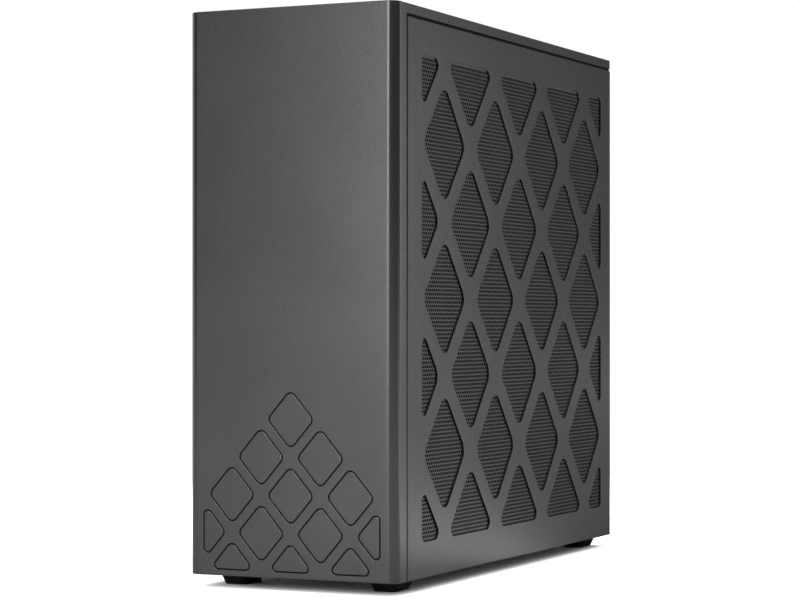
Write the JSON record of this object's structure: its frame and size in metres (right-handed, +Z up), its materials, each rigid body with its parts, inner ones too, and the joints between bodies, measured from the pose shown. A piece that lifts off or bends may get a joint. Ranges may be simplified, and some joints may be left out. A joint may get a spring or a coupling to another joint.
{
  "type": "mini pc",
  "caption": "Upright compact computer in a dark grey case: plain front with engraved diamonds, removable side panels with a diamond lattice over fine mesh, rubber feet, fans under the top.",
  "frame": {"origin": "on the floor, under the middle of the case", "axes": "+X to the right seen from the front, +Y from the front to the rear, +Z up"},
  "size_m": [0.129, 0.337, 0.323],
  "materials": {
    "case_paint": "satin dark grey powder coat",
    "mesh_paint": "satin dark grey, perforated",
    "chassis_paint": "matt black paint on steel sheet",
    "foot_rubber": "matt",
    "screw_steel": "zinc plated",
    "light_plastic": "unpainted nylon",
    "black_plastic": "fine moulded grain",
    "rotor_plastic": "moulded",
    "circuit_board": "solder mask",
    "pin_metal": "plated",
    "lid_metal": "nickel plated",
    "fin_aluminium": "as rolled",
    "copper": "plain copper",
    "shroud_plastic": "moulded",
    "socket_metal": "nickel plated",
    "button_metal": "satin"
  },
  "bodies": {
    "chassis": {"front_bezel": "case_paint", "top_cover": "case_paint", "top_mesh": "mesh_paint", "feet": "foot_rubber", "foot_screws": "screw_steel", "thumb_screws": "screw_steel", "bottom_pan": "chassis_paint", "front_plate": "chassis_paint", "rear_panel": "chassis_paint", "fan_deck": "chassis_paint", "shelf": "chassis_paint", "slot_covers": "chassis_paint", "psu_case": "chassis_paint", "psu_fan_guard": "chassis_paint", "compute_bracket": "chassis_paint", "clip_sockets": "light_plastic", "fan_frame_front": "black_plastic", "fan_frame_middle": "black_plastic", "fan_frame_rear": "black_plastic", "psu_fan_frame": "black_plastic", "psu_board": "circuit_board", "baseboard": "circuit_board", "compute_board": "circuit_board", "io_board": "circuit_board", "memory_modules": "circuit_board", "storage_drives": "circuit_board", "psu_inlet": "black_plastic", "switch_housing": "black_plastic", "inlet_pins": "pin_metal", "graphics_slot": "black_plastic", "compute_slot": "black_plastic", "processor": "lid_metal", "heatsink": "fin_aluminium", "heat_pipes": "copper", "blower_motor": "black_plastic", "compute_shroud": "shroud_plastic", "usb_a_ports": "socket_metal", "usb_c_port": "socket_metal", "network_ports": "socket_metal", "hdmi_port": "socket_metal", "io_usb_sockets": "socket_metal", "io_usb_c_socket": "socket_metal", "io_audio_jack": "black_plastic", "button_switch": "black_plastic"},
    "right_side": {"right_panel": "case_paint", "right_mesh": "mesh_paint", "right_studs": "screw_steel"},
    "left_side": {"left_panel": "case_paint", "left_mesh": "mesh_paint", "left_studs": "screw_steel"},
    "button": {"power_button": "button_metal"},
    "front_fan": {"fan_rotor_front": "rotor_plastic"},
    "middle_fan": {"fan_rotor_middle": "rotor_plastic"},
    "rear_fan": {"fan_rotor_rear": "rotor_plastic"},
    "psu_fan": {"psu_fan_rotor": "rotor_plastic"},
    "blower": {"blower_rotor": "rotor_plastic"},
    "mains_rocker": {"switch_rocker": "black_plastic"}
  },
  "joints": [
    {"name": "right_panel_pull", "type": "slide", "parent": "chassis", "child": "right_side", "axis": [1, 0, 0], "range_m": [0, 0.1]},
    {"name": "left_panel_pull", "type": "slide", "parent": "chassis", "child": "left_side", "axis": [-1, 0, 0], "range_m": [0, 0.1]},
    {"name": "power_button_press", "type": "slide", "parent": "chassis", "child": "button", "axis": [0, 0, -1], "range_m": [0, 0.0012], "stiffness_N_per_m": 250, "springref_m": -0.0006},
    {"name": "front_fan_spin", "type": "hinge", "parent": "chassis", "child": "front_fan", "pos_m": [0, -0.0737, 0.3097], "axis": [0, 0, 1], "continuous": true},
    {"name": "middle_fan_spin", "type": "hinge", "parent": "chassis", "child": "middle_fan", "pos_m": [0, 0.0193, 0.3097], "axis": [0, 0, 1], "continuous": true},
    {"name": "rear_fan_spin", "type": "hinge", "parent": "chassis", "child": "rear_fan", "pos_m": [0, 0.1123, 0.3097], "axis": [0, 0, 1], "continuous": true},
    {"name": "psu_fan_spin", "type": "hinge", "parent": "chassis", "child": "psu_fan", "pos_m": [0.0409, 0.1113, 0.0734], "axis": [1, 0, 0], "continuous": true},
    {"name": "blower_spin", "type": "hinge", "parent": "chassis", "child": "blower", "pos_m": [-0.0477, -0.0463, 0.2183], "axis": [1, 0, 0], "continuous": true},
    {"name": "mains_switch_rock", "type": "hinge", "parent": "chassis", "child": "mains_rocker", "pos_m": [0.01765, 0.1558, 0.0819], "axis": [1, 0, 0], "range_deg": [0, 20]}
  ]
}
